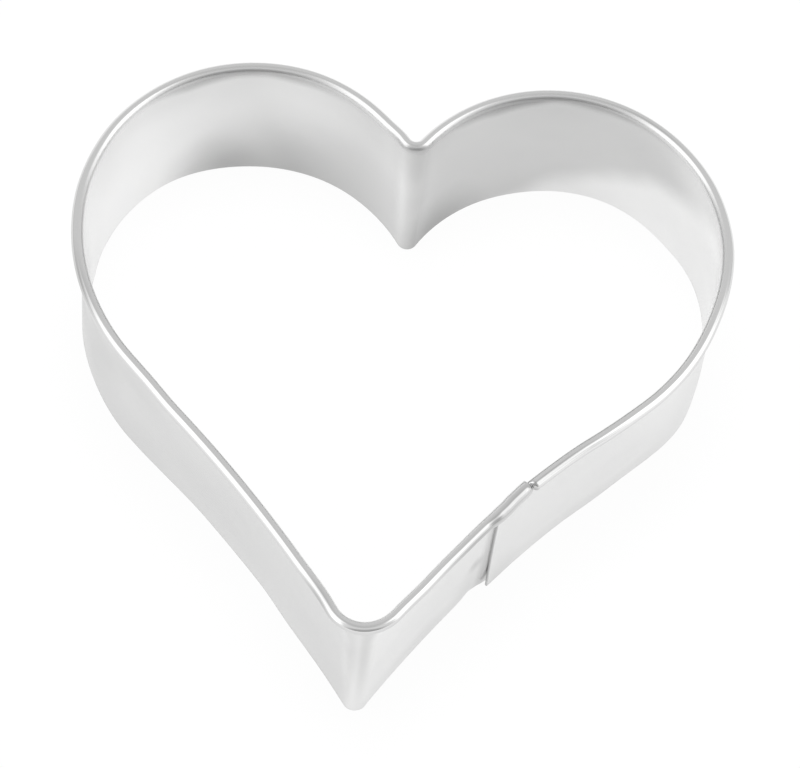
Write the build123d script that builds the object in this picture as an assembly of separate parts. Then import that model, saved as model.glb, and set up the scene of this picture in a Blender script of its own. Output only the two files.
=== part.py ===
from build123d import *
from math import asin, cos, degrees, radians, sin, sqrt
import os

# A heart-shaped cutter: one strip of tinplate with a rolled bead along its top edge, lapped and
# spot-welded on the lower right flank. Millimetres, +Z up, cutting edge at the bottom, tip towards -Y.

# Overall sizes and the sheet
width = 76.1                    # across the lobes, over the bead
band_height = 19.0              # cutting edge to the top of the bead, away from the lap
sheet = 0.3                     # thickness of the tinplate

# Rolled bead
bead_radius = 0.7               # outside radius of the curl
bead_turn = 300                 # degrees of curl, from the wall over the top and back under

# Heart outline at the middle of the sheet, as shares of the distance between the two crowns
right_crown_share = 0.5256      # radius over the top of the lobe
left_crown_share = 0.5369
right_dip_share = 0.554         # radius from the crown down to the notch
left_dip_share = 0.625
right_shoulder_share = 0.7642   # radius round the widest part
left_shoulder_share = 0.7756
right_sway_share = 3.55         # radius of the faint hollow in the lower flank
left_sway_share = 5.11
straight_share = 0.2841         # straight stretch of each flank
crown_lift_share = 0.0097       # how much higher the right crown stands

# Angles that a side of the outline turns through, in degrees from the top of its crown
dip_turn = 33.5
crown_turn = 70
right_flank_turn = 135.9
left_flank_turn = 135.3

# Bends and lean: the bead holds the two sharp bends rounder than the wall below it
notch_radius = 2.1
fold_notch_radius = 1.0
edge_notch_radius = 0.9
tip_radius = 3.7
fold_tip_radius = 1.9
edge_tip_radius = 1.7
fold_share = 0.86               # of the bead's height, up to which the wall keeps its own bends
right_lean = 1.0                # how far the flank stands in at the cutting edge
left_lean = 0.17

# Lapped seam on the right flank
seam_run = 7.2                  # end of the flank's straight to the inner layer's cut end
lap_length = 4.25               # overlap of the two ends
lap_gap = 0.05                  # space between the two layers
lap_bead_turn = 275             # degrees of curl where the inner layer's bead wraps the other
squeezed_radius = 0.5           # outer layer's bead, squeezed to go inside that wrap
squeezed_turn = 280             # degrees of its curl
crimp_run = 0.3                 # length over which it narrows
joggle_run = 2.4                # length of the inward step at the bead
joggle_lead = 0.5               # from the foot of the step to the outer layer's cut end
edge_joggle_run = 4.5           # the same two at the cutting edge
edge_joggle_lead = 1.75
settle_run = 1.55               # from that cut end to where the layers lie together again
groove_depth = 0.59             # depth of the step at the cutting edge, where the press bit deepest
end_flare = 0.53                # how far the outer layer's corner stands out at the cutting edge
lap_shares = (0, 0.02, 0.35, 0.65, 0.98, 1)     # where the curve along the lap is pinned

# Spot welds
weld_radius = 0.8
weld_depth_share = 0.6          # how far a nugget goes into the outer layer's thickness
weld_height_shares = (0.27, 0.66)
mark_radius = 1.05              # electrode mark round each weld, on the inner face
mark_depth = 0.06

# Worked out from the sizes above
half_sheet = sheet / 2
bead_out = bead_radius - half_sheet            # bead centre, outward from the middle of the sheet
bead_height = band_height - bead_radius        # bead centre, above the cutting edge
bead_reach = bead_radius + bead_out            # outermost point of the bead
fold_height = bead_height * fold_share
lap_step = sheet + lap_gap                     # how far the inner layer stands inside the other
lap_bead_radius = squeezed_radius + lap_step   # outside radius of the wrap
inner_end = seam_run                           # cut ends, past the end of the flank's straight
outer_end = inner_end + lap_length
settle_place = outer_end - settle_run
crimp_end = inner_end - crimp_run
RIGHT = 1
LEFT = -1


def aim(side, angle):
    """Unit vector at an angle in degrees, as drawn on the right half and mirrored for the left."""
    return Vector(side * cos(radians(angle)), sin(radians(angle)))


def half_share(crown, shoulder):
    """Reach of one half beyond its crown, as a share of the crown distance."""
    return crown * sin(radians(crown_turn)) + shoulder * (1 - sin(radians(crown_turn)))


right_half_share = half_share(right_crown_share, right_shoulder_share)
left_half_share = half_share(left_crown_share, left_shoulder_share)
crown_distance = (width - 2 * bead_reach) / (1 + right_half_share + left_half_share)


def meeting(first, first_radius, second, second_radius):
    """Upper crossing of two circles."""
    line = second - first
    gap = line.length
    along = (first_radius**2 - second_radius**2 + gap**2) / (2 * gap)
    across = sqrt(first_radius**2 - along**2)
    way = line.normalized()
    sideways = Vector(-way.Y, way.X)
    crossings = [first + way * along + sideways * across, first + way * along - sideways * across]
    return max(crossings, key=lambda point: point.Y)


def half_outline(side, lean):
    """Centres and tangent points of one half of the heart, from its dip to its flank."""
    if side == RIGHT:
        shares = (right_crown_share, right_dip_share, right_shoulder_share, right_sway_share)
        flank_turn = right_flank_turn
    else:
        shares = (left_crown_share, left_dip_share, left_shoulder_share, left_sway_share)
        flank_turn = left_flank_turn
    crown, dip, shoulder, sway = [share * crown_distance for share in shares]
    shoulder -= lean / (1 - cos(radians(flank_turn - crown_turn)))
    lift = side * crown_lift_share * crown_distance / 2
    crown_centre = Vector(side * crown_distance / 2, lift - crown)
    dip_way = aim(side, 90 + dip_turn)
    crown_way = aim(side, 90 - crown_turn)
    flank_way = aim(side, 90 - flank_turn)
    shoulder_centre = crown_centre + crown_way * (crown - shoulder)
    flank_start = shoulder_centre + flank_way * shoulder
    flank_end = flank_start + aim(side, -flank_turn) * straight_share * crown_distance
    return {
        "crown": crown_centre,
        "dip": crown_centre + dip_way * (crown - dip),
        "dip_radius": dip,
        "dip_start": crown_centre + dip_way * crown,
        "shoulder": shoulder_centre,
        "shoulder_start": crown_centre + crown_way * crown,
        "flank_start": flank_start,
        "flank_end": flank_end,
        "sway": flank_end + flank_way * sway,
        "sway_radius": sway,
    }


def toward(start, end, distance):
    """Point at a distance from start on the way to end."""
    return start + (end - start).normalized() * distance


def cut_place():
    """Place of the outer layer's cut end, on the rim's right hollow."""
    half = half_outline(RIGHT, 0)
    arm = half["flank_end"] - half["sway"]
    return half["sway"] + arm.rotate(Axis.Z, degrees(outer_end / half["sway_radius"]))


def between(low, high, share):
    """A size part of the way from its value at the cutting edge to its value at the bead."""
    return low + (high - low) * share


class Outline:
    """The heart at one level: where its bends touch, at the middle of the sheet."""

    def __init__(self, notch, tip, level_share):
        self.level_share = level_share
        self.height = bead_height * level_share
        self.right = half_outline(RIGHT, between(right_lean, 0, level_share))
        self.left = half_outline(LEFT, between(left_lean, 0, level_share))
        dips = [(half["dip"], half["dip_radius"]) for half in (self.right, self.left)]
        sways = [(half["sway"], half["sway_radius"]) for half in (self.right, self.left)]
        self.notch = meeting(dips[0][0], dips[0][1] + notch, dips[1][0], dips[1][1] + notch)
        self.tip = meeting(sways[0][0], sways[0][1] + tip, sways[1][0], sways[1][1] + tip)
        self.notch_ends = [toward(centre, self.notch, radius) for centre, radius in dips]
        self.tip_ends = [toward(centre, self.tip, radius) for centre, radius in sways]
        self.hollow_start = (self.right["flank_end"] - self.right["sway"]).normalized()
        cut_arm = (cut_place() - self.right["sway"]).normalized()
        self.cut_angle = degrees(asin(self.hollow_start.cross(cut_arm).Z))
        self.foot_depth = between(groove_depth, lap_step, level_share)
        self.joggle_foot = outer_end + between(edge_joggle_lead, joggle_lead, level_share)
        self.joggle_top = self.joggle_foot + between(edge_joggle_run, joggle_run, level_share)

    def seam_way(self, distance):
        """Outward direction of the right flank's hollow, a distance past the end of its straight."""
        return -self.hollow_start.rotate(Axis.Z, self.cut_angle * distance / outer_end)

    def seam_place(self, distance, out):
        """Place beside that hollow, moved outward from the heart."""
        return self.right["sway"] + self.seam_way(distance) * (out - self.right["sway_radius"])

    def flare(self, distance):
        """How far the outer layer stands out as it comes to its cut end."""
        share = distance / outer_end
        return end_flare * (1 - self.level_share) * share * (1 + share) / 2

    def lap_edge(self, start, end, out):
        """Edge along the flared layer, from one distance to another."""
        distances = [start + (end - start) * share for share in lap_shares]
        places = [self.seam_place(distance, self.flare(distance) + out) for distance in distances]
        if self.level_share == 1:
            return bend(places[0], places[-1], self.right["sway"], 0, hollow=True)
        ways = [(places[1] - places[0]).normalized(), (places[-1] - places[-2]).normalized()]
        return Spline(*places, tangents=ways)


rim = Outline(notch_radius, tip_radius, 1)
fold = Outline(fold_notch_radius, fold_tip_radius, fold_share)
edge = Outline(edge_notch_radius, edge_tip_radius, 0)


def bend(start, end, centre, out, hollow=False):
    """Arc about a centre, moved outward from the heart. A hollow bend has its centre outside."""
    arms = [start - centre, end - centre]
    radius = arms[0].length + (-out if hollow else out)
    middle = (arms[0] + arms[1]).normalized()
    points = [arms[0].normalized(), middle, arms[1].normalized()]
    return ThreePointArc(*[centre + way * radius for way in points])


def run(start, end, out):
    """Straight piece, moved outward, which is to the right on the way round."""
    way = (end - start).normalized()
    offset = Vector(way.Y, -way.X) * out
    return Line(start + offset, end + offset)


def half_pieces(half, notch_end, out, upward):
    """Edges of one half between its flank's hollow and the notch."""
    pieces = [
        run(half["flank_end"], half["flank_start"], out if upward else -out),
        bend(half["flank_start"], half["shoulder_start"], half["shoulder"], out),
        bend(half["shoulder_start"], half["dip_start"], half["crown"], out),
        bend(half["dip_start"], notch_end, half["dip"], out),
    ]
    return pieces if upward else pieces[::-1]


def ring_edges(outline, out):
    """The strip's path round the heart, from the outer cut end to the top of the joggle."""
    right, left = outline.right, outline.left
    joggle_start = outline.seam_place(outline.joggle_top, 0)
    edges = [outline.lap_edge(outer_end, 0, out)]
    edges += half_pieces(right, outline.notch_ends[0], out, upward=True)
    edges += [bend(*outline.notch_ends, outline.notch, out, hollow=True)]
    edges += half_pieces(left, outline.notch_ends[1], out, upward=False)
    edges += [bend(left["flank_end"], outline.tip_ends[1], left["sway"], out, hollow=True)]
    edges += [bend(outline.tip_ends[1], outline.tip_ends[0], outline.tip, out)]
    edges += [bend(outline.tip_ends[0], joggle_start, right["sway"], out, hollow=True)]
    return edges


def seam_edges(outline, out):
    """The inner end's path: the joggle down to its foot, back to the lap, and along the lap."""
    distances = (outline.joggle_top, outline.joggle_foot, settle_place)
    lap = outline.lap_edge(settle_place, inner_end, out - lap_step)
    outs = (out, out - outline.foot_depth)
    places = [outline.seam_place(distance, shift) for distance, shift in zip(distances, outs)]
    places.append(lap @ 0)
    if outline.level_share == 1:
        return [Line(places[0], places[1]), Line(places[1], places[2]), lap]
    ways = [outline.seam_way(distance) for distance in distances[:2]]
    tangents = [Vector(-way.Y, way.X) for way in ways]
    step = Spline(places[0], places[1], tangents=tangents)
    rise = Spline(places[1], places[2], tangents=(tangents[1], lap % 0))
    return [step, rise, lap]


def footprint(outline):
    """Closed outline of the strip's thickness at one level."""
    outer = ring_edges(outline, half_sheet) + seam_edges(outline, half_sheet)
    inner = ring_edges(outline, -half_sheet) + seam_edges(outline, -half_sheet)
    far_cap = Line(outer[-1] @ 1, inner[-1] @ 1)
    near_cap = Line(inner[0] @ 0, outer[0] @ 0)
    return Wire([*outer, far_cap, *inner[::-1], near_cap]).translate(Vector(0, 0, outline.height))


def curl_face(distance, depth, radius, turn):
    """Section of the rolled bead beside the seam, standing on sheet that lies so deep."""
    way = rim.seam_way(distance)
    centre = rim.seam_place(distance, radius - half_sheet - depth) + Vector(0, 0, bead_height)

    def at(reach, angle):
        return centre + way * reach * cos(radians(angle)) + Vector(0, 0, reach * sin(radians(angle)))

    angles = (180, 180 - turn / 2, 180 - turn)
    outside = ThreePointArc(*[at(radius, angle) for angle in angles])
    inside = ThreePointArc(*[at(radius - sheet, angle) for angle in angles])
    caps = [Line(outside @ 0, inside @ 0), Line(outside @ 1, inside @ 1)]
    return Face(Wire([outside, caps[1], inside, caps[0]]))


def seam_path(start, end, depth):
    """Path of a curl beside the seam."""
    places = [rim.seam_place(distance, -depth) for distance in (start, end)]
    path = bend(*places, rim.right["sway"], 0, hollow=True)
    return Wire([path]).translate(Vector(0, 0, bead_height))


def rolled_bead():
    """The curl round the heart, its squeezed end, its widening and its larger turn over the lap."""
    squeezed = curl_face(outer_end, 0, squeezed_radius, squeezed_turn)
    squeezed_end = curl_face(inner_end, 0, squeezed_radius, squeezed_turn)
    full = curl_face(crimp_end, 0, bead_radius, bead_turn)
    full_end = curl_face(rim.joggle_top, 0, bead_radius, bead_turn)
    wrap = curl_face(rim.joggle_foot, lap_step, lap_bead_radius, lap_bead_turn)
    first = bend(rim.seam_place(crimp_end, 0), rim.right["flank_end"], rim.right["sway"], 0, hollow=True)
    ring = Wire([first, *ring_edges(rim, 0)[1:]]).translate(Vector(0, 0, bead_height))
    return (
        Solid.sweep(squeezed, seam_path(outer_end, inner_end, 0)),
        Solid.make_loft([squeezed_end.outer_wire(), full.outer_wire()], ruled=True),
        Solid.sweep(full, ring),
        Solid.make_loft([full_end.outer_wire(), wrap.outer_wire()], ruled=True),
        Solid.sweep(wrap, seam_path(rim.joggle_foot, inner_end, lap_step)),
    )


def lap_place(height_share, distance):
    """Middle of the outer layer's sheet near its cut end, at a share of the bead's height."""
    low = edge.seam_place(distance, edge.flare(distance))
    high = fold.seam_place(distance, fold.flare(distance)) + Vector(0, 0, fold_height)
    return low + (high - low) * height_share / fold_share


def weld_plane(height_share):
    """Plane on the middle of the outer layer, half way along the lap, facing outward."""
    middle_place = (inner_end + outer_end) / 2
    up = (lap_place(fold_share, middle_place) - lap_place(0, middle_place)).normalized()
    along = (lap_place(height_share, inner_end) - lap_place(height_share, outer_end)).normalized()
    return Plane(lap_place(height_share, middle_place), x_dir=along, z_dir=along.cross(up))


def weld_nugget(height_share):
    """Nugget through the inner layer and part of the outer one."""
    start = mark_depth - half_sheet - lap_step
    end = weld_depth_share * sheet - half_sheet
    plane = weld_plane(height_share).offset(start)
    return Solid.make_cylinder(weld_radius, end - start, plane)


def electrode_mark(height_share):
    """Shallow round mark on the inner layer's inner face, reaching past that face."""
    depth = mark_depth + sheet
    plane = weld_plane(height_share).offset(mark_depth - half_sheet - lap_step - depth)
    return Solid.make_cylinder(mark_radius, depth, plane)


def cutter_band(nuggets):
    """The whole strip, with a pocket for each nugget."""
    levels = [footprint(outline) for outline in (edge, fold, rim)]
    band = Solid.make_loft(levels, ruled=True).fuse(*rolled_bead())
    marks = [electrode_mark(share) for share in weld_height_shares]
    return band.cut(*nuggets, *marks)


nuggets = [weld_nugget(share) for share in weld_height_shares]
band = cutter_band(nuggets)
middle = band.bounding_box().center()
home = Location((-middle.X, -middle.Y, 0))
parts = {
    "cutter_band": band,
    "lower_spot_weld": nuggets[0],
    "upper_spot_weld": nuggets[1],
}

os.makedirs("parts", exist_ok=True)
for name, solid in parts.items():
    export_step(home * solid, f"parts/{name}.step")
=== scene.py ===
import bpy
from math import atan2, ceil, copysign, cos, exp, pi, radians, sin, sqrt
from mathutils import Matrix, Vector


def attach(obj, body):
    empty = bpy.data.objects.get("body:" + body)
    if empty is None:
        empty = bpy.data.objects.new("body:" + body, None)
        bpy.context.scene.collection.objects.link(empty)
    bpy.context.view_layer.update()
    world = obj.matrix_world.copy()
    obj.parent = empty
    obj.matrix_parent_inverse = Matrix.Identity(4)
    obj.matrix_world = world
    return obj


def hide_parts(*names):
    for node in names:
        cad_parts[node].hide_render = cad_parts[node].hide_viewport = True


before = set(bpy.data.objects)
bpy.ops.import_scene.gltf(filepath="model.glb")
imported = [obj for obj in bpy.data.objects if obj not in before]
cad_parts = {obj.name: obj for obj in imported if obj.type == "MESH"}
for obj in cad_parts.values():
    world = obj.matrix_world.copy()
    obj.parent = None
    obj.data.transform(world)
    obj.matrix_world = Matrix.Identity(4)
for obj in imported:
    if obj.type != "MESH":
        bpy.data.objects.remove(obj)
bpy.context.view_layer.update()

# A heart-shaped tinplate cutter on a white table. The outline and the section are worked out in
# millimetres with the crowns of the two lobes near y = 0, then moved into the part's frame.

MM = 0.001
DRAWING_MIDDLE = Vector((-0.19895, -35.80567))     # middle of the part's box, in the drawing

# Strip and rolled bead. A curl's radius is taken at the middle of the sheet
SHEET = 0.3
HALF = SHEET / 2
BEAD_HEIGHT = 18.3
BEAD_CURL = 0.55
BEAD_TURN = 300

# Heart outline at the middle of the sheet
CROWN_HALF = 17.6
CROWN_LIFT = 0.17
CROWN_TURN = 70
DIP_TURN = 33.5
STRAIGHT = 10.0
RIGHT_SIZES = {"side": 1, "crown": 18.5, "dip": 19.5, "shoulder": 26.9, "sway": 125.0, "turn": 135.9}
LEFT_SIZES = {"side": -1, "crown": 18.9, "dip": 22.0, "shoulder": 27.3, "sway": 180.0, "turn": 135.3}
# The wall keeps its own sharp bends up to its brow, then swells into the bead's rounder ones
EDGE_LEVEL = {"notch": 0.95, "tip": 1.25, "round": 0.9, "lean": (1.0, 0.17)}
BROW_LEVEL = {"notch": 1.9, "tip": 1.95, "round": 0.3, "lean": (0.0, 0.0)}
RIM_LEVEL = {"notch": 2.1, "tip": 3.7, "round": 1.0, "lean": (0.0, 0.0)}
BROW_HEIGHT = 15.7

# The tip is pressed flatter between two creases, each with its place and half width as shares. A level's
# "round" is the share of the turn that is even between them
CREASE_PLACE = 0.11
CREASE_HALF = 0.08

# Lapped seam, as distances past the end of the right flank's straight
INNER_END = 7.2
OUTER_END = 11.45
SETTLE = 9.9              # from here to the outer end the layers close on each other
WRAP_FOOT = 11.95         # the wrap has its full width up to here
WRAP_TOP = 14.35          # and the plain bead's from here
SEAM_START = 20.0
END_FLARE = 0.53
FLARE_POWER = 1.2         # how the flare grows toward the cut end
SEAM_FADE = 2.5           # how quickly the flare at the cutting edge fades upward
SEAM_FADE_RUN = 6.0       # from the start of the seam, until that fade is fully there
GROOVE_FADE = 10.0        # the same for the groove and the open wedge beside the cut end
LAP_GAP = 0.05            # between the layers, closing to almost nothing at the outer cut end
CLOSED_GAP = 0.004
SQUEEZED_CURL = 0.35
SQUEEZED_TURN = 280
TUCKED_CURL = 0.18        # at the wrap's cut end, which is pressed down on it
CRIMP_END = 6.72
SQUEEZE_STOP = 0.05       # before the inner end, where the outer bead is fully squeezed
LOOSEN_START = 0.1        # past the inner end, where the tucked bead begins to open again
LOOSEN_RUN = 0.6
WRAP_CURL = 0.70
WRAP_TURN = 275
WRAP_END_CURL = 0.50      # the wrap's end, rounded and pressed down like a finger tip
WRAP_END_RUN = 1.1
WRAP_END_OUT = 0.10
WRAP_END_DOWN = 0.15
PRESS_STEPS = 8           # steps of the curl over which that press comes in

# How far the strip wanders outward from the drawn outline, as (distance from the outer cut end, shift)
EDGE_WANDER = (
    (0, 0.0), (14, 0.0), (22, -0.20), (31, 0.28), (37, 0.02), (50, 0.34), (55, 0.17), (59, -0.08),
    (69, 0.26), (82, -0.14), (100, -0.12), (118, -0.30), (130, 0.11), (142, 0.10), (147, -0.13),
    (154.6, 0.29), (163, 0.15), (171, 0.19), (184, -0.14), (193, -0.13), (199, 0.11), (206, 0.0),
    (222, -0.1), (227, -0.15), (240, -0.15),
)
RIM_WANDER = (
    (0, 0.17), (2.1, 0.02), (4.3, -0.11), (9.5, -0.11), (12, -0.08), (15, 0.06), (18, 0.12),
    (27, -0.11), (35, -0.28), (41, -0.10), (46, 0.05), (59, -0.25), (70, 0.0), (78, 0.12), (98, 0.12),
    (101, -0.11), (105, 0.0), (112.6, 0.17), (123, 0.07), (134, -0.10), (145, -0.05), (152, -0.19),
    (163, -0.30), (173.5, -0.14), (179, 0.07), (202, 0.07), (207, -0.05), (212, 0.14), (215.5, -0.05),
    (221, 0.18), (228.6, 0.08), (240, 0.0),
)
# Shift of the inner layer past the outer cut end, by distance along the seam, and its groove at the edge
EDGE_JOGGLE = ((11.45, 0.23), (12.3, 0.16), (13.4, 0.06), (15.0, 0.0))
RIM_JOGGLE = ((11.45, -0.13), (12.7, -0.06), (14.2, -0.01))
EDGE_GROOVE = ((9.9, 0.0), (10.5, -0.17), (11.45, -0.42), (12.3, -0.56), (13.2, -0.60), (14.5, -0.35),
               (16.1, -0.19), (17.9, -0.08), (20.0, 0.0))
DIMPLE = {"place": 13.8, "height": 8.5, "radius": 0.85, "depth": 0.05}

# Spot welds
WELD_PLACE = (INNER_END + OUTER_END) / 2
WELD_HEIGHTS = (0.27 * BEAD_HEIGHT, 0.66 * BEAD_HEIGHT)
WELD_RADIUS = 0.8
MARK_RADIUS = 1.05
MARK_DEPTH = 0.06
MARK_CLEARANCE = 0.01     # added to the depth, to clear the nugget's face
MARK_LIP = 0.2            # past its radius, where the mark's soft slope begins
MARK_SLOPE = 0.35


def turned(vector, angle):
    """A flat vector turned by an angle in radians."""
    c, s = cos(angle), sin(angle)
    return Vector((vector.x * c - vector.y * s, vector.x * s + vector.y * c))


def turn_between(first, last):
    """Signed angle in radians from one flat vector to another."""
    return atan2(first.x * last.y - first.y * last.x, first.dot(last))


def aim(side, angle):
    """Unit vector at an angle in degrees, as drawn on the right half and mirrored for the left."""
    return Vector((side * cos(radians(angle)), sin(radians(angle))))


def toward(start, end, distance):
    """Point at a distance from start on the way to end."""
    return start + (end - start).normalized() * distance


def smooth(value):
    """Smooth step from 0 to 1."""
    value = min(max(value, 0.0), 1.0)
    return value * value * (3 - 2 * value)


def along_knots(knots, place):
    """Smooth curve through (place, value) pairs in rising order, level beyond its ends."""
    if place <= knots[0][0]:
        return knots[0][1]
    if place >= knots[-1][0]:
        return knots[-1][1]
    index = max(k for k, knot in enumerate(knots) if knot[0] <= place)

    def slope(k):
        if k == 0 or k == len(knots) - 1:
            return 0.0
        before = (knots[k][1] - knots[k - 1][1]) / (knots[k][0] - knots[k - 1][0])
        after = (knots[k + 1][1] - knots[k][1]) / (knots[k + 1][0] - knots[k][0])
        return 0.0 if before * after <= 0 else 2 * before * after / (before + after)

    (x0, y0), (x1, y1) = knots[index], knots[index + 1]
    span = x1 - x0
    t = (place - x0) / span
    rise = y0 * (1 + 2 * t) * (1 - t)**2 + y1 * t * t * (3 - 2 * t)
    return rise + span * (slope(index) * t * (1 - t)**2 - slope(index + 1) * t * t * (1 - t))


def meeting(first, first_radius, second, second_radius):
    """Upper crossing of two circles."""
    line = second - first
    gap = line.length
    along = (first_radius**2 - second_radius**2 + gap**2) / (2 * gap)
    across = sqrt(first_radius**2 - along**2)
    way = line.normalized()
    sideways = Vector((-way.y, way.x))
    crossings = (first + way * along + sideways * across, first + way * along - sideways * across)
    return max(crossings, key=lambda point: point.y)


def half_outline(sizes, lean):
    """Centres and tangent points of one half of the heart."""
    side, crown, dip = sizes["side"], sizes["crown"], sizes["dip"]
    shoulder = sizes["shoulder"] - lean / (1 - cos(radians(sizes["turn"] - CROWN_TURN)))
    crown_centre = Vector((side * CROWN_HALF, side * CROWN_LIFT - crown))
    dip_way = aim(side, 90 + DIP_TURN)
    crown_way = aim(side, 90 - CROWN_TURN)
    flank_way = aim(side, 90 - sizes["turn"])
    shoulder_centre = crown_centre + crown_way * (crown - shoulder)
    flank_start = shoulder_centre + flank_way * shoulder
    flank_end = flank_start + aim(side, -sizes["turn"]) * STRAIGHT
    return {
        "crown": crown_centre,
        "dip": crown_centre + dip_way * (crown - dip),
        "dip_radius": dip,
        "dip_start": crown_centre + dip_way * crown,
        "shoulder": shoulder_centre,
        "shoulder_start": crown_centre + crown_way * crown,
        "flank_start": flank_start,
        "flank_end": flank_end,
        "sway": flank_end + flank_way * sizes["sway"],
        "sway_radius": sizes["sway"],
    }


def cut_place():
    """Place of the outer layer's cut end, on the rim's right hollow."""
    half = half_outline(RIGHT_SIZES, 0.0)
    return half["sway"] + turned(half["flank_end"] - half["sway"], OUTER_END / half["sway_radius"])


class Outline:
    """The heart at one level: where its bends touch, at the middle of the sheet."""

    def __init__(self, level):
        self.right = half_outline(RIGHT_SIZES, level["lean"][0])
        self.left = half_outline(LEFT_SIZES, level["lean"][1])
        dips = [(half["dip"], half["dip_radius"]) for half in (self.right, self.left)]
        sways = [(half["sway"], half["sway_radius"]) for half in (self.right, self.left)]
        notch, tip = level["notch"], level["tip"]
        self.round = level["round"]
        self.notch = meeting(dips[0][0], dips[0][1] + notch, dips[1][0], dips[1][1] + notch)
        self.tip = meeting(sways[0][0], sways[0][1] + tip, sways[1][0], sways[1][1] + tip)
        self.notch_ends = [toward(centre, self.notch, radius) for centre, radius in dips]
        self.tip_ends = [toward(centre, self.tip, radius) for centre, radius in sways]
        self.hollow_start = self.right["flank_end"] - self.right["sway"]
        self.cut_turn = turn_between(self.hollow_start, cut_place() - self.right["sway"])

    def seam_place(self, distance):
        """Place of the right flank's hollow past the end of its straight, and outward there."""
        arm = turned(self.hollow_start, self.cut_turn * distance / OUTER_END)
        return self.right["sway"] + arm, -arm.normalized()


EDGE = Outline(EDGE_LEVEL)
BROW = Outline(BROW_LEVEL)
RIM = Outline(RIM_LEVEL)


def arc(start, end, centre, hollow=False):
    """Arc about a centre, as a function from a share of its length to (point, outward)."""
    first = start - centre
    sweep = turn_between(first, end - centre)

    def at(share):
        arm = turned(first, sweep * share)
        return centre + arm, arm.normalized() * (-1 if hollow else 1)

    return at


FACET_STEPS = 240


def crease_turn(share, even):
    """Share of the tip's turn that is done at a share of its length: part even, part in two creases."""
    places = (CREASE_PLACE, 1 - CREASE_PLACE)
    creases = [smooth((share - place + CREASE_HALF) / (2 * CREASE_HALF)) for place in places]
    return even * share + (1 - even) * sum(creases) / 2


def faceted(start, end, centre, even):
    """Bend pressed flatter between two creases, in place of an arc with the same ends."""
    first = (start - centre).normalized()
    sweep = turn_between(first, end - centre)
    way = turned(first, copysign(pi / 2, sweep))
    places = [Vector((0, 0))]
    for k in range(FACET_STEPS):
        places.append(places[-1] + turned(way, sweep * crease_turn((k + 0.5) / FACET_STEPS, even)))
    scale = (end - start).length / places[-1].length

    def at(share):
        spot = share * FACET_STEPS
        k = min(int(spot), FACET_STEPS - 1)
        place = places[k].lerp(places[k + 1], spot - k)
        return start + place * scale, turned(first, sweep * crease_turn(share, even))

    return at


def straight(start, end):
    """Straight stretch, as a function from a share of its length to (point, outward)."""
    way = (end - start).normalized()
    out = Vector((way.y, -way.x))
    return lambda share: (start.lerp(end, share), out)


def stretches(outline):
    """The path round the heart, from the outer layer's cut end to the start of the seam."""
    right, left = outline.right, outline.left
    start = outline.seam_place(OUTER_END)[0]
    end = outline.seam_place(SEAM_START)[0]
    return [
        arc(start, right["flank_end"], right["sway"], hollow=True),
        straight(right["flank_end"], right["flank_start"]),
        arc(right["flank_start"], right["shoulder_start"], right["shoulder"]),
        arc(right["shoulder_start"], right["dip_start"], right["crown"]),
        arc(right["dip_start"], outline.notch_ends[0], right["dip"]),
        arc(outline.notch_ends[0], outline.notch_ends[1], outline.notch, hollow=True),
        arc(outline.notch_ends[1], left["dip_start"], left["dip"]),
        arc(left["dip_start"], left["shoulder_start"], left["crown"]),
        arc(left["shoulder_start"], left["flank_start"], left["shoulder"]),
        straight(left["flank_start"], left["flank_end"]),
        arc(left["flank_end"], outline.tip_ends[1], left["sway"], hollow=True),
        faceted(outline.tip_ends[1], outline.tip_ends[0], outline.tip, outline.round),
        arc(outline.tip_ends[0], end, right["sway"], hollow=True),
    ]


LAP_STRETCH = 0
NOTCH_STRETCH = 5
TIP_STRETCH = 11
STEP = 0.8                # spacing of the mesh along gentle stretches
BEND_STEP = 0.16          # along the notch and the seam
TIP_STEP = 0.09
CLOSE_STEPS = {LAP_STRETCH: BEND_STEP, NOTCH_STRETCH: BEND_STEP, TIP_STRETCH: TIP_STEP}
LENGTH_SAMPLES = 8
ROUNDING = ((0.0, 0.55), (0.03, 0.85), (0.08, 1.0))    # distance from a cut end, share of thickness
CURL_END_ROUNDING = 0.6   # the same share at the edge inside the bead


def stretch_length(at):
    """Length of a stretch, near enough for spacing."""
    points = [at(k / LENGTH_SAMPLES)[0] for k in range(LENGTH_SAMPLES + 1)]
    return sum((b - a).length for a, b in zip(points, points[1:]))


RIM_LENGTH = sum(stretch_length(at) for at in stretches(RIM))
CALM_RUN = 8.0            # from the lap to where the wall's faint waves have their full height


def outer_shifts(place):
    """Outward shift of the outer layer in the lap, at the cutting edge and at the rim."""
    along = OUTER_END - place
    flare = END_FLARE * max(place / OUTER_END, 0.0)**FLARE_POWER
    return along_knots(EDGE_WANDER, along) + flare, along_knots(RIM_WANDER, along)


def inner_shifts(place, start_shifts):
    """Outward shift of the inner layer: against the outer one in the lap, then its joggle."""
    if place < OUTER_END:
        gap = LAP_GAP + (CLOSED_GAP - LAP_GAP) * smooth((place - SETTLE) / (OUTER_END - SETTLE))
        return tuple(shift - SHEET - gap for shift in outer_shifts(place))
    edge_knots = (*EDGE_JOGGLE, (SEAM_START, start_shifts[0]))
    rim_knots = (*RIM_JOGGLE, (SEAM_START, start_shifts[1]))
    return along_knots(edge_knots, place), along_knots(rim_knots, place)


def seam_fade(place):
    """Power of the upward fade: 1 away from the seam, more beside the outer cut end."""
    inner_side = smooth(place / OUTER_END)
    outer_side = smooth((SEAM_START - place) / SEAM_FADE_RUN)
    return 1 + (SEAM_FADE - 1) * min(inner_side, outer_side)


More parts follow.
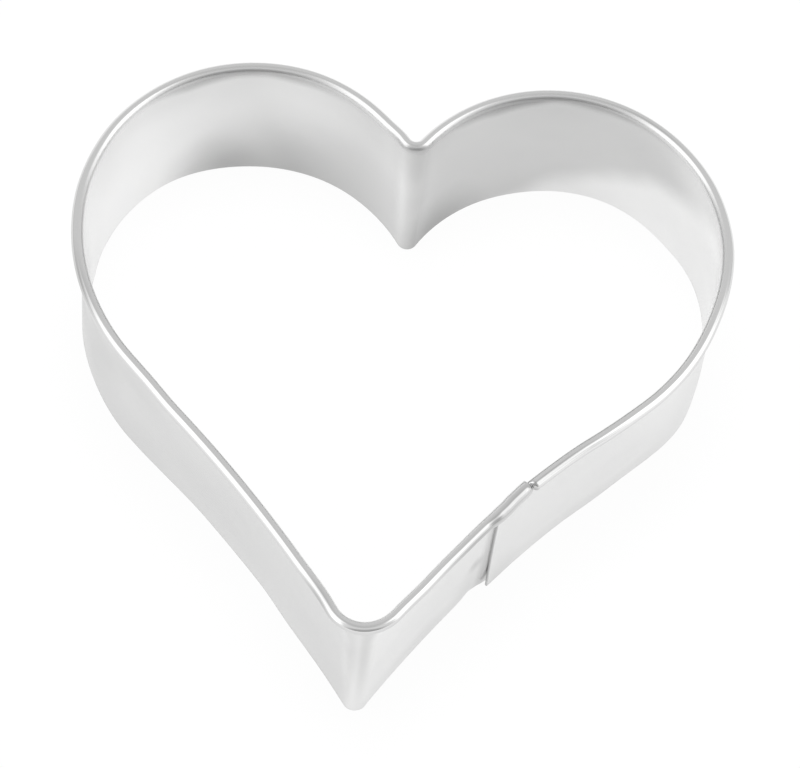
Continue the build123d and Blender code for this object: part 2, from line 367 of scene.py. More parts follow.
def outer_curl(place):
    """Radius and turn of the outer layer's curl: full, then squeezed to go inside the wrap."""
    if place < CRIMP_END:
        return BEAD_CURL, BEAD_TURN
    narrow = smooth((place - CRIMP_END) / (INNER_END - SQUEEZE_STOP - CRIMP_END))
    loosen = smooth((place - INNER_END - LOOSEN_START) / LOOSEN_RUN)
    squeezed = TUCKED_CURL + (SQUEEZED_CURL - TUCKED_CURL) * loosen
    return BEAD_CURL + (squeezed - BEAD_CURL) * narrow, BEAD_TURN + (SQUEEZED_TURN - BEAD_TURN) * narrow


def finger_round(place):
    """How far the wrap's end has rounded off, from 0 to 1 at its cut end."""
    near_end = min(max((INNER_END + WRAP_END_RUN - place) / WRAP_END_RUN, 0.0), 1.0)
    return 1 - sqrt(1 - near_end**2)


def inner_curl(place):
    """Radius and turn of the inner layer's curl: it widens at the joggle and wraps the other."""
    wide = smooth((WRAP_TOP - place) / (WRAP_TOP - WRAP_FOOT))
    rounded = finger_round(place)
    curl = BEAD_CURL + (WRAP_CURL - BEAD_CURL) * wide - (WRAP_CURL - WRAP_END_CURL) * rounded
    return curl, BEAD_TURN + (WRAP_TURN - BEAD_TURN) * wide


def ring_stations():
    """Stations round the heart up to the seam: places at each level, shifts, curl and fullness."""
    stations = []
    along = 0.0
    levels = zip(stretches(EDGE), stretches(BROW), stretches(RIM))
    for number, (low, brow, high) in enumerate(levels):
        length = stretch_length(high)
        count = max(2, ceil(length / CLOSE_STEPS.get(number, STEP)))
        shares = [(k / count, 1.0) for k in range(count)]
        if number == LAP_STRETCH:
            shares[:1] = [(distance / length, full) for distance, full in ROUNDING]
        for share, full in shares:
            distance = along + share * length
            shifts = (along_knots(EDGE_WANDER, distance), along_knots(RIM_WANDER, distance))
            curl, fade = (BEAD_CURL, BEAD_TURN), 1.0
            if number == LAP_STRETCH:
                place = OUTER_END - distance
                shifts, curl, fade = outer_shifts(place), outer_curl(place), seam_fade(place)
            from_lap = min(distance - OUTER_END, RIM_LENGTH - distance + SEAM_START - WRAP_TOP)
            stations.append({
                "levels": (low(share), brow(share), high(share)), "shifts": shifts, "curl": curl,
                "fade": fade, "full": full, "along": distance, "calm": smooth(from_lap / CALM_RUN),
            })
        along += length
    return stations


def seam_stations(start_shifts, start_along):
    """Stations of the inner end, from the start of the seam to its cut end."""
    span = SEAM_START - INNER_END - ROUNDING[-1][0]
    count = ceil(span / BEND_STEP)
    places = [(SEAM_START - span * k / count, 1.0) for k in range(count)]
    places += [(INNER_END + distance, full) for distance, full in ROUNDING[::-1]]
    stations = []
    for place, full in places:
        levels = tuple(outline.seam_place(place) for outline in (EDGE, BROW, RIM))
        stations.append({
            "levels": levels, "shifts": inner_shifts(place, start_shifts), "curl": inner_curl(place),
            "fade": seam_fade(place), "full": full, "along": start_along + SEAM_START - place,
            "calm": smooth((place - WRAP_TOP) / CALM_RUN), "place": place,
        })
    return stations


# Rows of the wall's mesh. FIRST_ROW is a height, the others are spacing and number: all over the wall,
# from the brow up, and on each side of a weld
FIRST_ROW = 0.3
WALL_ROWS = (0.6, 26)
BROW_ROWS = (0.25, 10)
WELD_ROWS = (0.15, 9)
SAME_HEIGHT = 0.001


def wall_heights():
    """Levels of the wall's mesh: closer at the cutting edge, beside the welds and under the bead."""
    levels = [distance for distance, _ in ROUNDING] + [FIRST_ROW]
    levels += [WALL_ROWS[0] * (k + 1) for k in range(WALL_ROWS[1])]
    levels += [BROW_HEIGHT + BROW_ROWS[0] * k for k in range(BROW_ROWS[1])]
    for height in WELD_HEIGHTS:
        levels += [height + WELD_ROWS[0] * k for k in range(-WELD_ROWS[1], WELD_ROWS[1] + 1)]
    return sorted(set(round(level, 3) for level in levels))


HEIGHTS = wall_heights()
CURL_STEPS = 30
# Faint waves that rolling and bending leave in the wall: height in mm, wavelengths along and up, start
WAVES = ((0.014, 37.0, 60.0, 0.4), (0.010, 19.0, 31.0, 2.1), (0.006, 11.3, -23.0, 4.4))
WAVE_FADE = 7.0           # mm below the bead over which they fade out


def wave(along, height):
    """Outward shift of the wall from its waves, which fade out toward the stiff bead."""
    fade = smooth((BEAD_HEIGHT - height) / WAVE_FADE)
    total = 0.0
    for depth, length, rise, start in WAVES:
        total += depth * sin(2 * pi * (along / length + height / rise) + start)
    return total * fade


def dimple(station, height):
    """Depth of the soft dent in the inner layer beside the seam."""
    place = station.get("place")
    if place is None:
        return 0.0
    distance = ((place - DIMPLE["place"])**2 + (height - DIMPLE["height"])**2) / DIMPLE["radius"]**2
    return DIMPLE["depth"] * exp(-distance)


def section(station):
    """Middle line of the sheet's section as (place, sheet's own outward way, fullness)."""
    (low, low_out), (brow, brow_out), (high, high_out) = station["levels"]
    low_shift, high_shift = station["shifts"]
    chain = []
    for height in HEIGHTS:
        share = height / BEAD_HEIGHT
        swell = max((height - BROW_HEIGHT) / (BEAD_HEIGHT - BROW_HEIGHT), 0.0)**2
        out = low_out.lerp(brow_out, share).lerp(high_out, swell).normalized()
        place = low.lerp(brow, share) + (high - brow) * swell
        weight = (1 - share)**station["fade"]
        shift = low_shift * weight + high_shift * (1 - weight)
        if "place" in station:
            shift += along_knots(EDGE_GROOVE, station["place"]) * (1 - share)**GROOVE_FADE
        shift += wave(station["along"], height) * station["calm"] - dimple(station, height)
        rounded = [full for distance, full in ROUNDING if abs(height - distance) < SAME_HEIGHT]
        edge_full = min([1.0] + rounded)
        chain.append(((place + out * shift).to_3d() + Vector((0, 0, height)), out.to_3d(), edge_full))
    radius, turn = station["curl"]
    centre = (high + high_out * (high_shift + radius)).to_3d() + Vector((0, 0, BEAD_HEIGHT))
    pressed = finger_round(station.get("place", SEAM_START))
    press = (high_out * WRAP_END_OUT * pressed).to_3d() - Vector((0, 0, WRAP_END_DOWN * pressed))
    for k in range(CURL_STEPS + 1):
        angle = radians(180 - turn * k / CURL_STEPS)
        way = high_out.to_3d() * cos(angle) + Vector((0, 0, sin(angle)))
        end_full = CURL_END_ROUNDING if k == CURL_STEPS else 1.0
        chain.append((centre + way * radius + press * smooth(k / PRESS_STEPS), -way, end_full))
    return chain


def weld_dent(station, height):
    """Depth of the electrode marks on the inner face."""
    place = station.get("place")
    if place is None:
        return 0.0
    nearest = min(sqrt((place - WELD_PLACE)**2 + (height - weld)**2) for weld in WELD_HEIGHTS)
    return (MARK_DEPTH + MARK_CLEARANCE) * smooth((MARK_RADIUS + MARK_LIP - nearest) / MARK_SLOPE)


def row_place(place):
    """A place of the drawing in the part's frame, in metres."""
    return (place - DRAWING_MIDDLE.to_3d()) * MM


def band_mesh():
    """The strip with its bead, as one closed skin round the sheet, and what its material needs."""
    stations = ring_stations()
    last = stations[-1]
    start_along = last["along"] + (last["levels"][2][0] - RIM.seam_place(SEAM_START)[0]).length
    start_shifts = (along_knots(EDGE_WANDER, start_along), along_knots(RIM_WANDER, start_along))
    stations += seam_stations(start_shifts, start_along)
    points, strip, wear, inner = [], [], [], []
    rows = len(HEIGHTS) + CURL_STEPS + 1
    for station in stations:
        chain = section(station)
        for number, (place, out, full) in enumerate(chain):
            curled = number - len(HEIGHTS)
            if curled < 0:
                distance = place.z
            else:
                distance = BEAD_HEIGHT + BEAD_CURL * radians(BEAD_TURN * curled / CURL_STEPS)
            half = HALF * full
            rounded = half * station["full"]
            inward, outward = (rounded, half) if "place" in station else (half, rounded)
            dent = weld_dent(station, place.z) if number < len(HEIGHTS) else 0.0
            points.append(row_place(place - out * (inward - dent)))
            points.append(row_place(place + out * outward))
            cut = 1.0 if full < 1 or station["full"] < 1 else 0.0
            strip += [(station["along"], distance)] * 2
            wear += [cut] * 2
            inner += [1.0, 0.0]
    faces = []

    def face(*corners):
        faces.append(tuple((station * rows + row) * 2 + side for station, row, side in corners))

    last_station = len(stations) - 1
    for s in range(last_station):
        for r in range(rows - 1):
            face((s, r, 0), (s, r + 1, 0), (s + 1, r + 1, 0), (s + 1, r, 0))
            face((s, r, 1), (s + 1, r, 1), (s + 1, r + 1, 1), (s, r + 1, 1))
        face((s, 0, 0), (s + 1, 0, 0), (s + 1, 0, 1), (s, 0, 1))
        top = rows - 1
        face((s, top, 0), (s, top, 1), (s + 1, top, 1), (s + 1, top, 0))
    for r in range(rows - 1):
        face((0, r, 0), (0, r, 1), (0, r + 1, 1), (0, r + 1, 0))
        s = last_station
        face((s, r, 0), (s, r + 1, 0), (s, r + 1, 1), (s, r, 1))
    return points, faces, strip, wear, inner


def new_piece(name, points, faces):
    """A smooth mesh piece in the scene."""
    mesh = bpy.data.meshes.new(name)
    mesh.from_pydata(points, [], faces)
    mesh.validate()
    mesh.polygons.foreach_set("use_smooth", [True] * len(mesh.polygons))
    piece = bpy.data.objects.new(name, mesh)
    bpy.context.scene.collection.objects.link(piece)
    return piece


def make_band():
    """The strip, with its place on the sheet, its cut edges and its inner face for the material."""
    points, faces, strip, wear, inner = band_mesh()
    band = new_piece("tinplate_band", points, faces)
    layer = band.data.uv_layers.new(name="strip")
    for loop in band.data.loops:
        along, up = strip[loop.vertex_index]
        layer.data[loop.index].uv = (along * MM, up * MM)
    attribute = band.data.attributes.new("cut_edge", "FLOAT", "POINT")
    attribute.data.foreach_set("value", wear)
    attribute = band.data.attributes.new("inner_face", "FLOAT", "POINT")
    attribute.data.foreach_set("value", inner)
    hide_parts("cutter_band")
    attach(band, "root")
    return band


def weld_frame(height):
    """Middle of a weld on the outer layer, and the ways along, up and outward there."""
    (low, low_out), (high, high_out) = EDGE.seam_place(WELD_PLACE), BROW.seam_place(WELD_PLACE)
    low_shift, high_shift = outer_shifts(WELD_PLACE)
    share = height / BEAD_HEIGHT
    weight = (1 - share)**seam_fade(WELD_PLACE)
    out = low_out.lerp(high_out, share)
    place = (low.lerp(high, share) + out * (low_shift * weight + high_shift * (1 - weight))).to_3d()
    place += Vector((0, 0, height))
    lean = (high + high_out * high_shift - low - low_out * low_shift).to_3d()
    up = (lean + Vector((0, 0, BEAD_HEIGHT))).normalized()
    out = out.to_3d()
    out = (out - up * out.dot(up)).normalized()
    return place, up.cross(out), up, out


NUGGET_SPOKES = 48
NUGGET_BACK = 0.03        # of its back past the middle of the outer layer
NUGGET_MIDDLE = 0.002     # of the face's middle past its first ring
NUGGET_SKIRT = 0.05       # of its side below the mark's floor
# The nugget's face on the inner side: radius in mm and height above the mark's floor
NUGGET_FACE = ((0.12, 0.012), (0.3, 0.008), (0.48, -0.004), (0.6, 0.004), (0.7, 0.006), (0.77, 0.002),
               (0.8, -0.01))


def make_nugget(name, node, height):
    """One spot weld: a low crown with a pressed ring, fused through the inner layer."""
    place, along, up, out = weld_frame(height)
    floor_depth = HALF + SHEET + LAP_GAP - MARK_DEPTH
    rings = [(radius, floor_depth + rise) for radius, rise in NUGGET_FACE]
    rings += [(WELD_RADIUS, floor_depth - NUGGET_SKIRT), (WELD_RADIUS, -NUGGET_BACK)]
    points = [row_place(place - out * (floor_depth + NUGGET_FACE[0][1] + NUGGET_MIDDLE))]
    for radius, depth in rings:
        for k in range(NUGGET_SPOKES):
            angle = 2 * pi * k / NUGGET_SPOKES
            spot = place + (along * cos(angle) + up * sin(angle)) * radius - out * depth
            points.append(row_place(spot))
    points.append(row_place(place + out * NUGGET_BACK))
    faces = []
    for k in range(NUGGET_SPOKES):
        after = (k + 1) % NUGGET_SPOKES
        faces.append((0, 1 + after, 1 + k))
        for ring in range(len(rings) - 1):
            a, b = 1 + ring * NUGGET_SPOKES, 1 + (ring + 1) * NUGGET_SPOKES
            faces.append((a + k, a + after, b + after, b + k))
        a = 1 + (len(rings) - 1) * NUGGET_SPOKES
        faces.append((a + k, a + after, len(points) - 1))
    piece = new_piece(name, points, faces)
    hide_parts(node)
    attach(piece, "root")
    return piece


def node_maker(tree):
    """Short way to add a node with its settings and inputs."""
    def add(kind, inputs=(), **settings):
        node = tree.nodes.new(kind)
        for key, value in settings.items():
            setattr(node, key, value)
        for key, value in dict(inputs).items():
            if isinstance(value, bpy.types.NodeSocket):
                tree.links.new(value, node.inputs[key])
            else:
                node.inputs[key].default_value = value
        return node
    return add


def new_material(name):
    """An empty node material, with its tree, its node maker and its output node."""
    material = bpy.data.materials.new(name)
    material.use_nodes = True
    tree = material.node_tree
    tree.nodes.clear()
    add = node_maker(tree)
    output = add("ShaderNodeOutputMaterial")
    return material, tree, add, output


TIN = (0.98, 0.98, 0.975, 1)
TIN_DULL = (0.94, 0.94, 0.94, 1)
STEEL_CUT = (0.70, 0.70, 0.70, 1)
CUT_ROUGHNESS = 0.25      # added on the cut edges
# Painted shade: soft darker stretches of the tin's colour, standing in for the shading of its reflections,
# by place along and up the strip, in mm. Each start and end is a pair of places, where the stretch's fade
# is 0 and where it is 1. On the heart's inner face one stretch covers the two lobes and slants at both ends
INNER_PAINTED_SHADE = 0.05
LOBE_START = (74.5, 85.5)
LOBE_START_SLANT = 2.0
LOBE_END = (129.0, 112.0)
LOBE_END_SLANT = -0.35
LOBE_PAINTED_SHADE = 0.26
# On the outer face the left flank and the backs of the lobes get more painted shade than the right flank
OUTER_PAINTED_SHADE = 0.04
FLANK_START = (147.0, 153.0)
FLANK_END = (211.0, 207.5)
FLANK_PAINTED_SHADE = 0.16
BACK_START = (38.0, 54.0)
BACK_END = (157.0, 143.0)
BACK_PAINTED_SHADE = 0.20
# Painted shade on the bead: all over it, and more on its underside, where it mirrors the floor
BEAD_PAINTED_SHADE = 0.08
BEAD_FOOT = (18.1, 18.5)  # where the bead's own painted shade takes over from the wall's
BEAD_UNDERSIDE = (19.4, 19.8)
UNDERSIDE_PAINTED_SHADE = 0.18
BEAD_CROWN = (19.0, 19.4)
BEAD_POLISH = 0.07        # taken off the roughness where the sheet is stretched round the bead's crown
BEAD_START = (17.7, 18.2)
BEAD_START_END = (19.0, 18.6)
START_ROUGHNESS = 0.14    # added where the wall bends into the bead
# Soft ovals of painted shade and painted light, darker and lighter stand-ins for the tones of the tin's
# reflections: name, place along, place up, reach along, reach up, change
LOBE_PAINTED_OVALS = (
    ("left_foot", 117, -2, 14, 13, -0.17),
    ("left_foot_end", 124, 0, 8, 9, -0.25),
    ("left_lobe", 106, 15, 15, 11, 0.08),
    ("left_brow", 116, 14, 14, 10, 0.09),
    ("left_brow_end", 131, 18, 9, 6, -0.09),
    ("left_shine", 137, 4, 14, 14, 0.10),
    ("left_upper_shine", 147, 13, 8, 12, 0.08),
    ("left_turn", 151, 5, 6, 10, -0.24),
    ("left_bead_shade", 120, 18.6, 19, 1.6, -0.33),
    ("right_bead_shade", 77, 18.7, 22, 1.8, -0.32),
    ("notch_foot", 90.5, -1, 8, 9, -0.24),
    ("notch_side", 98, 8, 8, 20, 0.07),
    ("right_brow", 74, 16, 22, 12, -0.05),
    ("right_upper_shine", 52, 17, 13, 8, 0.19),
    ("right_foot", 63, 0, 12, 8, 0.06),
)
FLANK_PAINTED_OVALS = (
    ("left_side", 161, 9, 11, 13, -0.14),
    ("left_turn_edge", 156, 10, 4, 12, -0.12),
    ("left_upper_side", 170, 15, 13, 9, -0.07),
    ("left_flank_foot", 190, 0, 26, 9, 0.05),
    ("tip_right", 219, 8, 10, 16, 0.02),
    ("right_brow_end", 16, 18, 22, 9, -0.05),
    ("right_turn", 32, 9, 9, 14, -0.05),
    ("tip_right_foot", 225, 0, 14, 5, -0.10),
    ("right_flank_foot", 14, 0, 26, 4, -0.07),
    ("outer_end_foot", 1, 0, 4, 7, -0.10),
)
PAINT_WANDER = 5.0        # mm by which the borders of the painted light and shade wander, and the scale of that noise per mm
WANDER_SCALE = 0.07
NOISE_MIDDLE = (0.5, 0.5, 0.5)
# Small ovals of painted light and shade, which keep their place: beside the notch's bend, on the tip, at
# the seam and on the bead
NOTCH_PAINTED_OVALS = (
    ("notch_line", 97.4, 9, 1.7, 16, 0.07),
    ("notch_shade", 94.6, 11, 2.6, 15, -0.10),
    ("notch_brow", 95.5, 17, 3, 7, -0.07),
)
SEAM_PAINTED_OVALS = (
    ("tip_crease", 210.6, 14, 2.0, 15, -0.20),
    ("tip_face", 213.6, 14, 3.2, 15, -0.24),
    ("seam_shade", 233.2, 6, 1.4, 16, -0.26),
    ("dent_shade", 231.6, 8.0, 1.6, 1.9, -0.20),
    ("seam_foot", 231.5, 3, 4, 8, -0.10),
)
BEAD_PAINTED_OVALS = (
    ("bead_neck", 4.45, 20, 0.7, 6, -0.20),
    ("left_lobe_line", 120, 18.4, 19, 0.45, -0.44),
    ("right_lobe_line", 77, 18.4, 22, 0.45, -0.48),
    ("notch_bead_line", 96, 18.3, 6, 0.8, -0.36),
    ("left_outer_edge", 147, 19.9, 18, 0.55, -0.10),
    ("tip_bead_under", 212.5, 19.6, 7, 0.3, 0.24),
    ("left_turn_bead", 160, 19.5, 8, 0.7, -0.18),
    ("wrap_shade", 236.0, 19.5, 6, 0.7, -0.22),
    ("tip_left_bead", 207.5, 19.6, 4.5, 0.9, -0.22),
    ("tip_right_bead", 229, 19.7, 8, 0.8, -0.22),
    ("left_flank_under", 186, 19.65, 30, 0.35, 0.12),
    ("right_flank_under", 16, 19.7, 26, 0.35, 0.16),
    ("outer_end_bead", 8, 19.35, 9, 0.3, -0.26),
    ("right_lobe_shine", 64, 19.0, 9, 0.3, -0.14),
    ("right_edge_line", 14, 18.8, 22, 0.25, -0.16),
    ("left_inner_edge", 182, 18.35, 34, 0.6, -0.30),
    ("right_inner_edge", 16, 18.35, 26, 0.6, -0.30),
    ("wrap_inner_edge", 234, 18.35, 10, 0.6, -0.30),
)


def fade_between(add, value, ends):
    """Smooth step of a value from 0 at the first end to 1 at the second."""
    low, high = min(ends), max(ends)
    first, last = (0.0, 1.0) if ends[0] < ends[1] else (1.0, 0.0)
    step = {"Value": value, "From Min": low, "From Max": high, "To Min": first, "To Max": last}
    return add("ShaderNodeMapRange", step, interpolation_type="SMOOTHSTEP").outputs[0]


def calculate(add, operation, *values):
    """One step of arithmetic on sockets and numbers."""
    return add("ShaderNodeMath", dict(enumerate(values)), operation=operation).outputs[0]


def between(add, start_place, start, end_place, end):
    """A soft stretch: 1 between its two ends and 0 outside them."""
    opened = fade_between(add, start_place, start)
    closed = fade_between(add, end_place, end)
    return calculate(add, "MULTIPLY", opened, closed)


NOISE_RANGE = (0.3, 0.7)   # the part of a noise's values that is spread over a range
BUMP_DISTANCE = 0.00002


def noise(add, place, scale, detail):
    """Noise over a place, as a socket."""
    return add("ShaderNodeTexNoise", {"Vector": place, "Scale": scale, "Detail": detail}).outputs["Fac"]


def strip_noise(add, strip, scale, detail):
    """Noise on the sheet, with one scale along the strip and one up."""
    place = add("ShaderNodeMapping", {"Vector": strip, "Scale": scale}).outputs["Vector"]
    return noise(add, place, 1.0, detail)


def spread(add, value, ends):
    """A noise's value spread between two ends."""
    span = {"From Min": NOISE_RANGE[0], "From Max": NOISE_RANGE[1], "To Min": ends[0], "To Max": ends[1]}
    return add("ShaderNodeMapRange", {"Value": value, **span}).outputs["Result"]


def bumped(add, height, strength):
    """A normal that a noise tilts slightly."""
    bump = {"Height": height, "Strength": strength, "Distance": BUMP_DISTANCE}
    return add("ShaderNodeBump", bump).outputs["Normal"]


def with_painted_ovals(add, place, shade, clouds):
    """A painted tone with soft ovals of painted light and shade added to it."""
    for name, along, up, along_reach, up_reach, change in clouds:
        apart = add("ShaderNodeVectorMath", {0: place, 1: (along, up, 0)}, operation="SUBTRACT", name=name)
        flat = add("ShaderNodeVectorMath", {0: apart.outputs[0], 1: (1 / along_reach, 1 / up_reach, 0)},
                   operation="MULTIPLY")
        reach = add("ShaderNodeVectorMath", {0: flat.outputs[0]}, operation="LENGTH").outputs["Value"]
        shade = calculate(add, "MULTIPLY_ADD", fade_between(add, reach, (1.0, 0.0)), change, shade)
    return shade


def painted_light_and_shade(add, strip):
    """Painted light and shade: the share of the tin's colour kept at each place on the strip, darker and
    lighter in soft stretches and ovals that stand in for the tones of its reflections.
    """
    scaled = add("ShaderNodeVectorMath", {0: strip, "Scale": 1 / MM}, operation="SCALE")
    drift = add("ShaderNodeTexNoise", {"Vector": scaled.outputs[0], "Scale": WANDER_SCALE, "Detail": 2.0})
    drift = drift.outputs["Color"]
    centred = add("ShaderNodeVectorMath", {0: drift, 1: NOISE_MIDDLE}, operation="SUBTRACT")
    moved = add("ShaderNodeVectorMath", {0: centred.outputs[0], "Scale": PAINT_WANDER}, operation="SCALE")
    place = add("ShaderNodeVectorMath", {0: scaled.outputs[0], 1: moved.outputs[0]}, operation="ADD")
    parts = add("ShaderNodeSeparateXYZ", {0: place.outputs[0]})
    along, up = parts.outputs[0], parts.outputs[1]
    lobe_start = calculate(add, "MULTIPLY_ADD", up, LOBE_START_SLANT, along)
    lobe_end = calculate(add, "MULTIPLY_ADD", up, LOBE_END_SLANT, along)
    lobes = between(add, lobe_start, LOBE_START, lobe_end, LOBE_END)
    inner_shade = calculate(add, "MULTIPLY_ADD", lobes, -LOBE_PAINTED_SHADE, 1 - INNER_PAINTED_SHADE)
    inner_shade = with_painted_ovals(add, place.outputs[0], inner_shade, LOBE_PAINTED_OVALS)
    inner_shade = with_painted_ovals(add, scaled.outputs[0], inner_shade, NOTCH_PAINTED_OVALS)
    flank = between(add, along, FLANK_START, along, FLANK_END)
    back = between(add, along, BACK_START, along, BACK_END)
    outer_shade = calculate(add, "MULTIPLY_ADD", flank, -FLANK_PAINTED_SHADE, 1 - OUTER_PAINTED_SHADE)
    outer_shade = calculate(add, "MULTIPLY_ADD", back, -BACK_PAINTED_SHADE, outer_shade)
    outer_shade = with_painted_ovals(add, place.outputs[0], outer_shade, FLANK_PAINTED_OVALS)
    outer_shade = with_painted_ovals(add, scaled.outputs[0], outer_shade, SEAM_PAINTED_OVALS)
    inner = add("ShaderNodeAttribute", attribute_name="inner_face").outputs["Fac"]
    wall = add("ShaderNodeMix", {0: inner, 2: outer_shade, 3: inner_shade}, data_type="FLOAT").outputs[0]
    height = add("ShaderNodeSeparateXYZ", {0: scaled.outputs[0]}).outputs[1]
    under = fade_between(add, height, BEAD_UNDERSIDE)
    bead = calculate(add, "MULTIPLY_ADD", under, -UNDERSIDE_PAINTED_SHADE, 1 - BEAD_PAINTED_SHADE)
    bead = with_painted_ovals(add, scaled.outputs[0], bead, BEAD_PAINTED_OVALS)
    return add("ShaderNodeMix", {0: fade_between(add, height, BEAD_FOOT), 2: wall, 3: bead},
               data_type="FLOAT").outputs[0]


# The rolling lines and the faint clouds: scales along and up the strip, per metre, and what each gives to
# the roughness and the bump
LINE_SCALE = (60, 9000, 1)
LINE_ROUGHNESS = (-0.02, 0.03)
LINE_BUMP = 0.05
CLOUD_SCALE = (110, 190, 1)
CLOUD_ROUGHNESS = (0.17, 0.24)


def tin_material():
    """Bright tinplate: fine rolling lines along the strip, soft clouds, painted light and shade by place,
    and dull cut edges.
    """
    material, tree, add, output = new_material("bright_tinplate")
    strip = add("ShaderNodeUVMap", uv_map="strip").outputs["UV"]
    lines = strip_noise(add, strip, LINE_SCALE, 4.0)
    clouds = strip_noise(add, strip, CLOUD_SCALE, 3.0)
    cut = add("ShaderNodeAttribute", attribute_name="cut_edge").outputs["Fac"]
    shade = add("ShaderNodeMix", {0: clouds, 6: TIN, 7: TIN_DULL}, data_type="RGBA").outputs[2]
    # The tin's colour scaled by its painted light and shade
    painted_tin = add("ShaderNodeVectorMath", {0: shade, "Scale": painted_light_and_shade(add, strip)}, operation="SCALE")
    edged = add("ShaderNodeMix", {0: cut, 6: painted_tin.outputs[0], 7: STEEL_CUT}, data_type="RGBA").outputs[2]
    rough = calculate(add, "ADD", spread(add, clouds, CLOUD_ROUGHNESS), spread(add, lines, LINE_ROUGHNESS))
    up = add("ShaderNodeSeparateXYZ", {0: strip}).outputs[1]
    bead_places = (BEAD_CROWN, BEAD_START, BEAD_START_END)
    crown, start, end = ([height * MM for height in places] for places in bead_places)
    rough = calculate(add, "MULTIPLY_ADD", fade_between(add, up, crown), -BEAD_POLISH, rough)
    rough = calculate(add, "MULTIPLY_ADD", between(add, up, start, up, end), START_ROUGHNESS, rough)
    rough = calculate(add, "MULTIPLY_ADD", cut, CUT_ROUGHNESS, rough)
    shader = add("ShaderNodeBsdfPrincipled", {"Base Color": edged, "Metallic": 1.0, "Roughness": rough,
                                              "Normal": bumped(add, lines, LINE_BUMP)})
    tree.links.new(shader.outputs["BSDF"], output.inputs["Surface"])
    return material


WELD_GREY = (0.50, 0.50, 0.50, 1)
WELD_STRAW = (0.56, 0.53, 0.47, 1)
GRAIN_SCALE = 6000.0
TINT_SCALE = 1400.0
WELD_ROUGHNESS = (0.3, 0.5)
WELD_BUMP = 0.3


def weld_material():
    """Fused tin and steel: grainy, greyer and faintly straw coloured."""
    material, tree, add, output = new_material("fused_weld")
    place = add("ShaderNodeTexCoord").outputs["Object"]
    grain = noise(add, place, GRAIN_SCALE, 4.0)
    tint = noise(add, place, TINT_SCALE, 2.0)
    colour = add("ShaderNodeMix", {0: tint, 6: WELD_GREY, 7: WELD_STRAW}, data_type="RGBA").outputs[2]
    shader = add("ShaderNodeBsdfPrincipled", {"Base Color": colour, "Metallic": 1.0,
                                              "Roughness": spread(add, grain, WELD_ROUGHNESS),
                                              "Normal": bumped(add, grain, WELD_BUMP)})
    tree.links.new(shader.outputs["BSDF"], output.inputs["Surface"])
    return material


FLOOR_HALF = 4.0
FLOOR_DROP = 0.00002       # below the cutting edge, so that the two don't share a plane
FLOOR_WHITE = (0.9, 0.9, 0.9, 1)
FLOOR_FLECK = (0.88, 0.88, 0.88, 1)
FLECK_SCALE = 900.0
CAMERA_WHITE = 0.96        # share of pure white that the camera sees over the lit floor
MIRRORED_WHITE = 0.75      # the same in reflections
MIRRORED_LEVEL = 0.92      # how bright that white is there


def make_floor():
    """White table, lit by lamp and room, with white added for what the camera and the metal see."""
    corners = [(-FLOOR_HALF, -FLOOR_HALF, 0), (FLOOR_HALF, -FLOOR_HALF, 0),
               (FLOOR_HALF, FLOOR_HALF, 0), (-FLOOR_HALF, FLOOR_HALF, 0)]
    floor = new_piece("table_top", corners, [(0, 1, 2, 3)])
    floor.location.z = -FLOOR_DROP
    material, tree, add, output = new_material("white_table")
    flecks = noise(add, add("ShaderNodeTexCoord").outputs["Object"], FLECK_SCALE, 3.0)
    colour = add("ShaderNodeMix", {0: flecks, 6: FLOOR_WHITE, 7: FLOOR_FLECK}, data_type="RGBA")
    lit = add("ShaderNodeBsdfDiffuse", {"Color": colour.outputs[2]})
    path = add("ShaderNodeLightPath")
    mirrored = calculate(add, "MAXIMUM", path.outputs["Is Glossy Ray"], path.outputs["Is Transmission Ray"])
    level = calculate(add, "MULTIPLY_ADD", mirrored, MIRRORED_LEVEL - 1, 1.0)
    white = add("ShaderNodeEmission", {"Color": (1, 1, 1, 1), "Strength": level})
    camera_share = calculate(add, "MULTIPLY", path.outputs["Is Camera Ray"], CAMERA_WHITE)
    share = calculate(add, "MAXIMUM", calculate(add, "MULTIPLY", mirrored, MIRRORED_WHITE), camera_share)
    mix = add("ShaderNodeMixShader", {0: share, 1: lit.outputs[0], 2: white.outputs[0]})
    tree.links.new(mix.outputs[0], output.inputs["Surface"])
    floor.data.materials.append(material)


ROOM_LEVEL = 0.63
# Pale and dark parts of the room: name, compass angle and height of the middle, in degrees, with -90 the
# camera's side, then the angle where each begins to fade, where it ends, and its change of level
ROOM_PARTS = (
    ("camera_side", -80, 6, 24, 46, -0.28),
    ("right_softbox", 0, 14, 12, 30, 0.65),
    ("right_upper_softbox", 8, 47, 8, 26, 0.75),
    ("left_softbox", -160, 22, 14, 32, 0.60),
    ("left_low_softbox", -143, 6, 8, 20, 0.30),
    ("left_upper_softbox", -175, 50, 8, 28, 0.60),
    ("back_window", 118, 4, 8, 24, 0.15),
    ("ceiling", 0, 90, 5, 30, -0.10),
)


def make_room():
    """The studio round the table, as soft pale and dark parts of one even level."""
    world = bpy.data.worlds.new("studio")
    bpy.context.scene.world = world
    world.use_nodes = True
    tree = world.node_tree
    tree.nodes.clear()
    add = node_maker(tree)
    place = add("ShaderNodeTexCoord")
    level = ROOM_LEVEL
    for name, compass, height, full, end, change in ROOM_PARTS:
        way = (cos(radians(height)) * cos(radians(compass)), cos(radians(height)) * sin(radians(compass)),
               sin(radians(height)))
        near = add("ShaderNodeVectorMath", {0: place.outputs["Generated"], 1: way}, operation="DOT_PRODUCT",
                   name=name)
        part = add("ShaderNodeMapRange", {"Value": near.outputs["Value"], "From Min": cos(radians(end)),
                                          "From Max": cos(radians(full)), "To Min": 0.0, "To Max": change},
                   interpolation_type="SMOOTHSTEP")
        level = calculate(add, "ADD", level, part.outputs["Result"])
    background = add("ShaderNodeBackground", {"Color": (1, 1, 1, 1), "Strength": level})
    output = add("ShaderNodeOutputWorld")
    tree.links.new(background.outputs[0], output.inputs["Surface"])


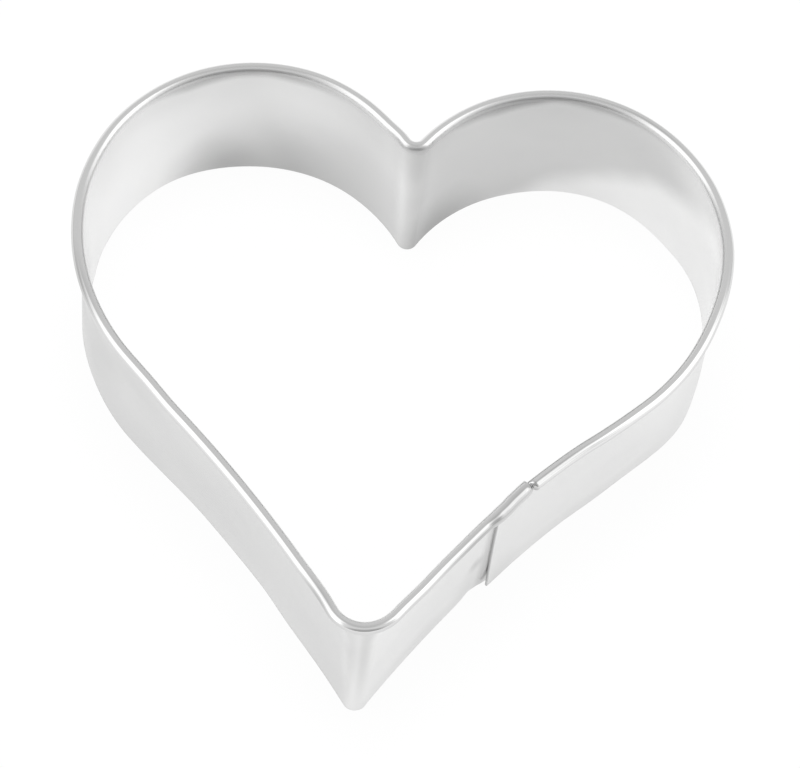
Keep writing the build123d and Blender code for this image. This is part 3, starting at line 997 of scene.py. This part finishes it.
LAMP_PLACE = Vector((-0.03, 0.16, 0.75))
LAMP_AIM = Vector((0, 0, 0.01))
LAMP_SIZE = 0.35
LAMP_POWER = 4.0


def make_lamp():
    """A soft square lamp overhead, for the floor's light and shadow. The metal doesn't mirror it."""
    data = bpy.data.lights.new("overhead", "AREA")
    data.shape = "SQUARE"
    data.size = LAMP_SIZE
    data.energy = LAMP_POWER
    lamp = bpy.data.objects.new("overhead", data)
    lamp.location = LAMP_PLACE
    lamp.rotation_euler = (LAMP_AIM - LAMP_PLACE).to_track_quat("-Z", "Y").to_euler()
    lamp.visible_glossy = False
    bpy.context.scene.collection.objects.link(lamp)


# Solved from the photograph's edges: place in mm, and unit vectors forward and down in the picture
CAMERA_PLACE = Vector((2.69795, -194.19073, 319.8469))
CAMERA_FORWARD = Vector((-0.0036884, 0.53040777, -0.84773463))
CAMERA_DOWN = Vector((0.10052576, -0.8432494, -0.52803884))
CAMERA_LENS = 144.0
CAMERA_SENSOR = 36.0
CAMERA_CLIP = (0.01, 20.0)


def make_camera():
    """The camera at the photograph's viewing angle."""
    data = bpy.data.cameras.new("camera")
    data.lens = CAMERA_LENS
    data.sensor_width = CAMERA_SENSOR
    data.sensor_fit = "HORIZONTAL"
    data.clip_start, data.clip_end = CAMERA_CLIP
    camera = bpy.data.objects.new("camera", data)
    back = -CAMERA_FORWARD
    up = -CAMERA_DOWN
    right = up.cross(back)
    turn = Matrix((right, up, back)).transposed()
    camera.matrix_world = Matrix.LocRotScale(CAMERA_PLACE * MM, turn.to_quaternion(), None)
    bpy.context.scene.collection.objects.link(camera)
    bpy.context.scene.camera = camera


bpy.context.scene.view_settings.view_transform = "Standard"
make_camera()
make_room()
make_lamp()
make_floor()
band = make_band()
band.data.materials.append(tin_material())
weld = weld_material()
for name, node, height in (("lower_weld_nugget", "lower_spot_weld", WELD_HEIGHTS[0]),
                           ("upper_weld_nugget", "upper_spot_weld", WELD_HEIGHTS[1])):
    make_nugget(name, node, height).data.materials.append(weld)
